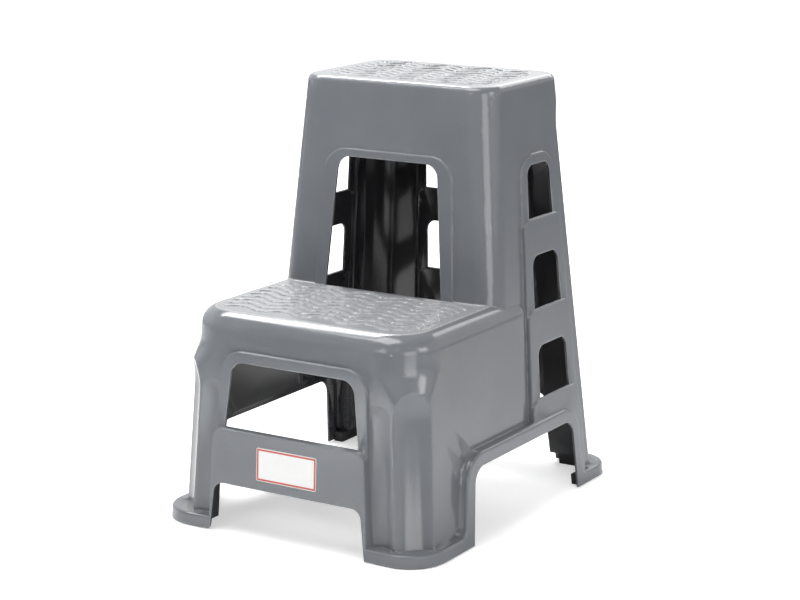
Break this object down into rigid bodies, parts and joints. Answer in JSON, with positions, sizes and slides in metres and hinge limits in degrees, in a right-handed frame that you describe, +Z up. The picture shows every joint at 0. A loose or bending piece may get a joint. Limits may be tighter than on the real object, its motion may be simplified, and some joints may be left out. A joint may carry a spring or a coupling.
{
  "type": "step stool",
  "caption": "One-piece moulded plastic step stool with a low front tread and a high rear tread, open windows and grip holes in its walls, and rubber foot pads.",
  "frame": {"origin": "on the floor, under the middle of the foot rim's bounding box", "axes": "+Z up, the lower step towards -Y, +X to the right as seen from the front"},
  "size_m": [0.3518, 0.4378, 0.4809],
  "materials": {
    "body_plastic": "glossy mid-grey moulding",
    "pad_rubber": "matte dark rubber",
    "label_film": "blank white sticker with a thin red border"
  },
  "bodies": {
    "root": {"moulded_body": "body_plastic", "foot_pad_front_left": "pad_rubber", "foot_pad_front_right": "pad_rubber", "foot_pad_rear_left": "pad_rubber", "foot_pad_rear_right": "pad_rubber", "blank_label": "label_film"}
  },
  "joints": []
}
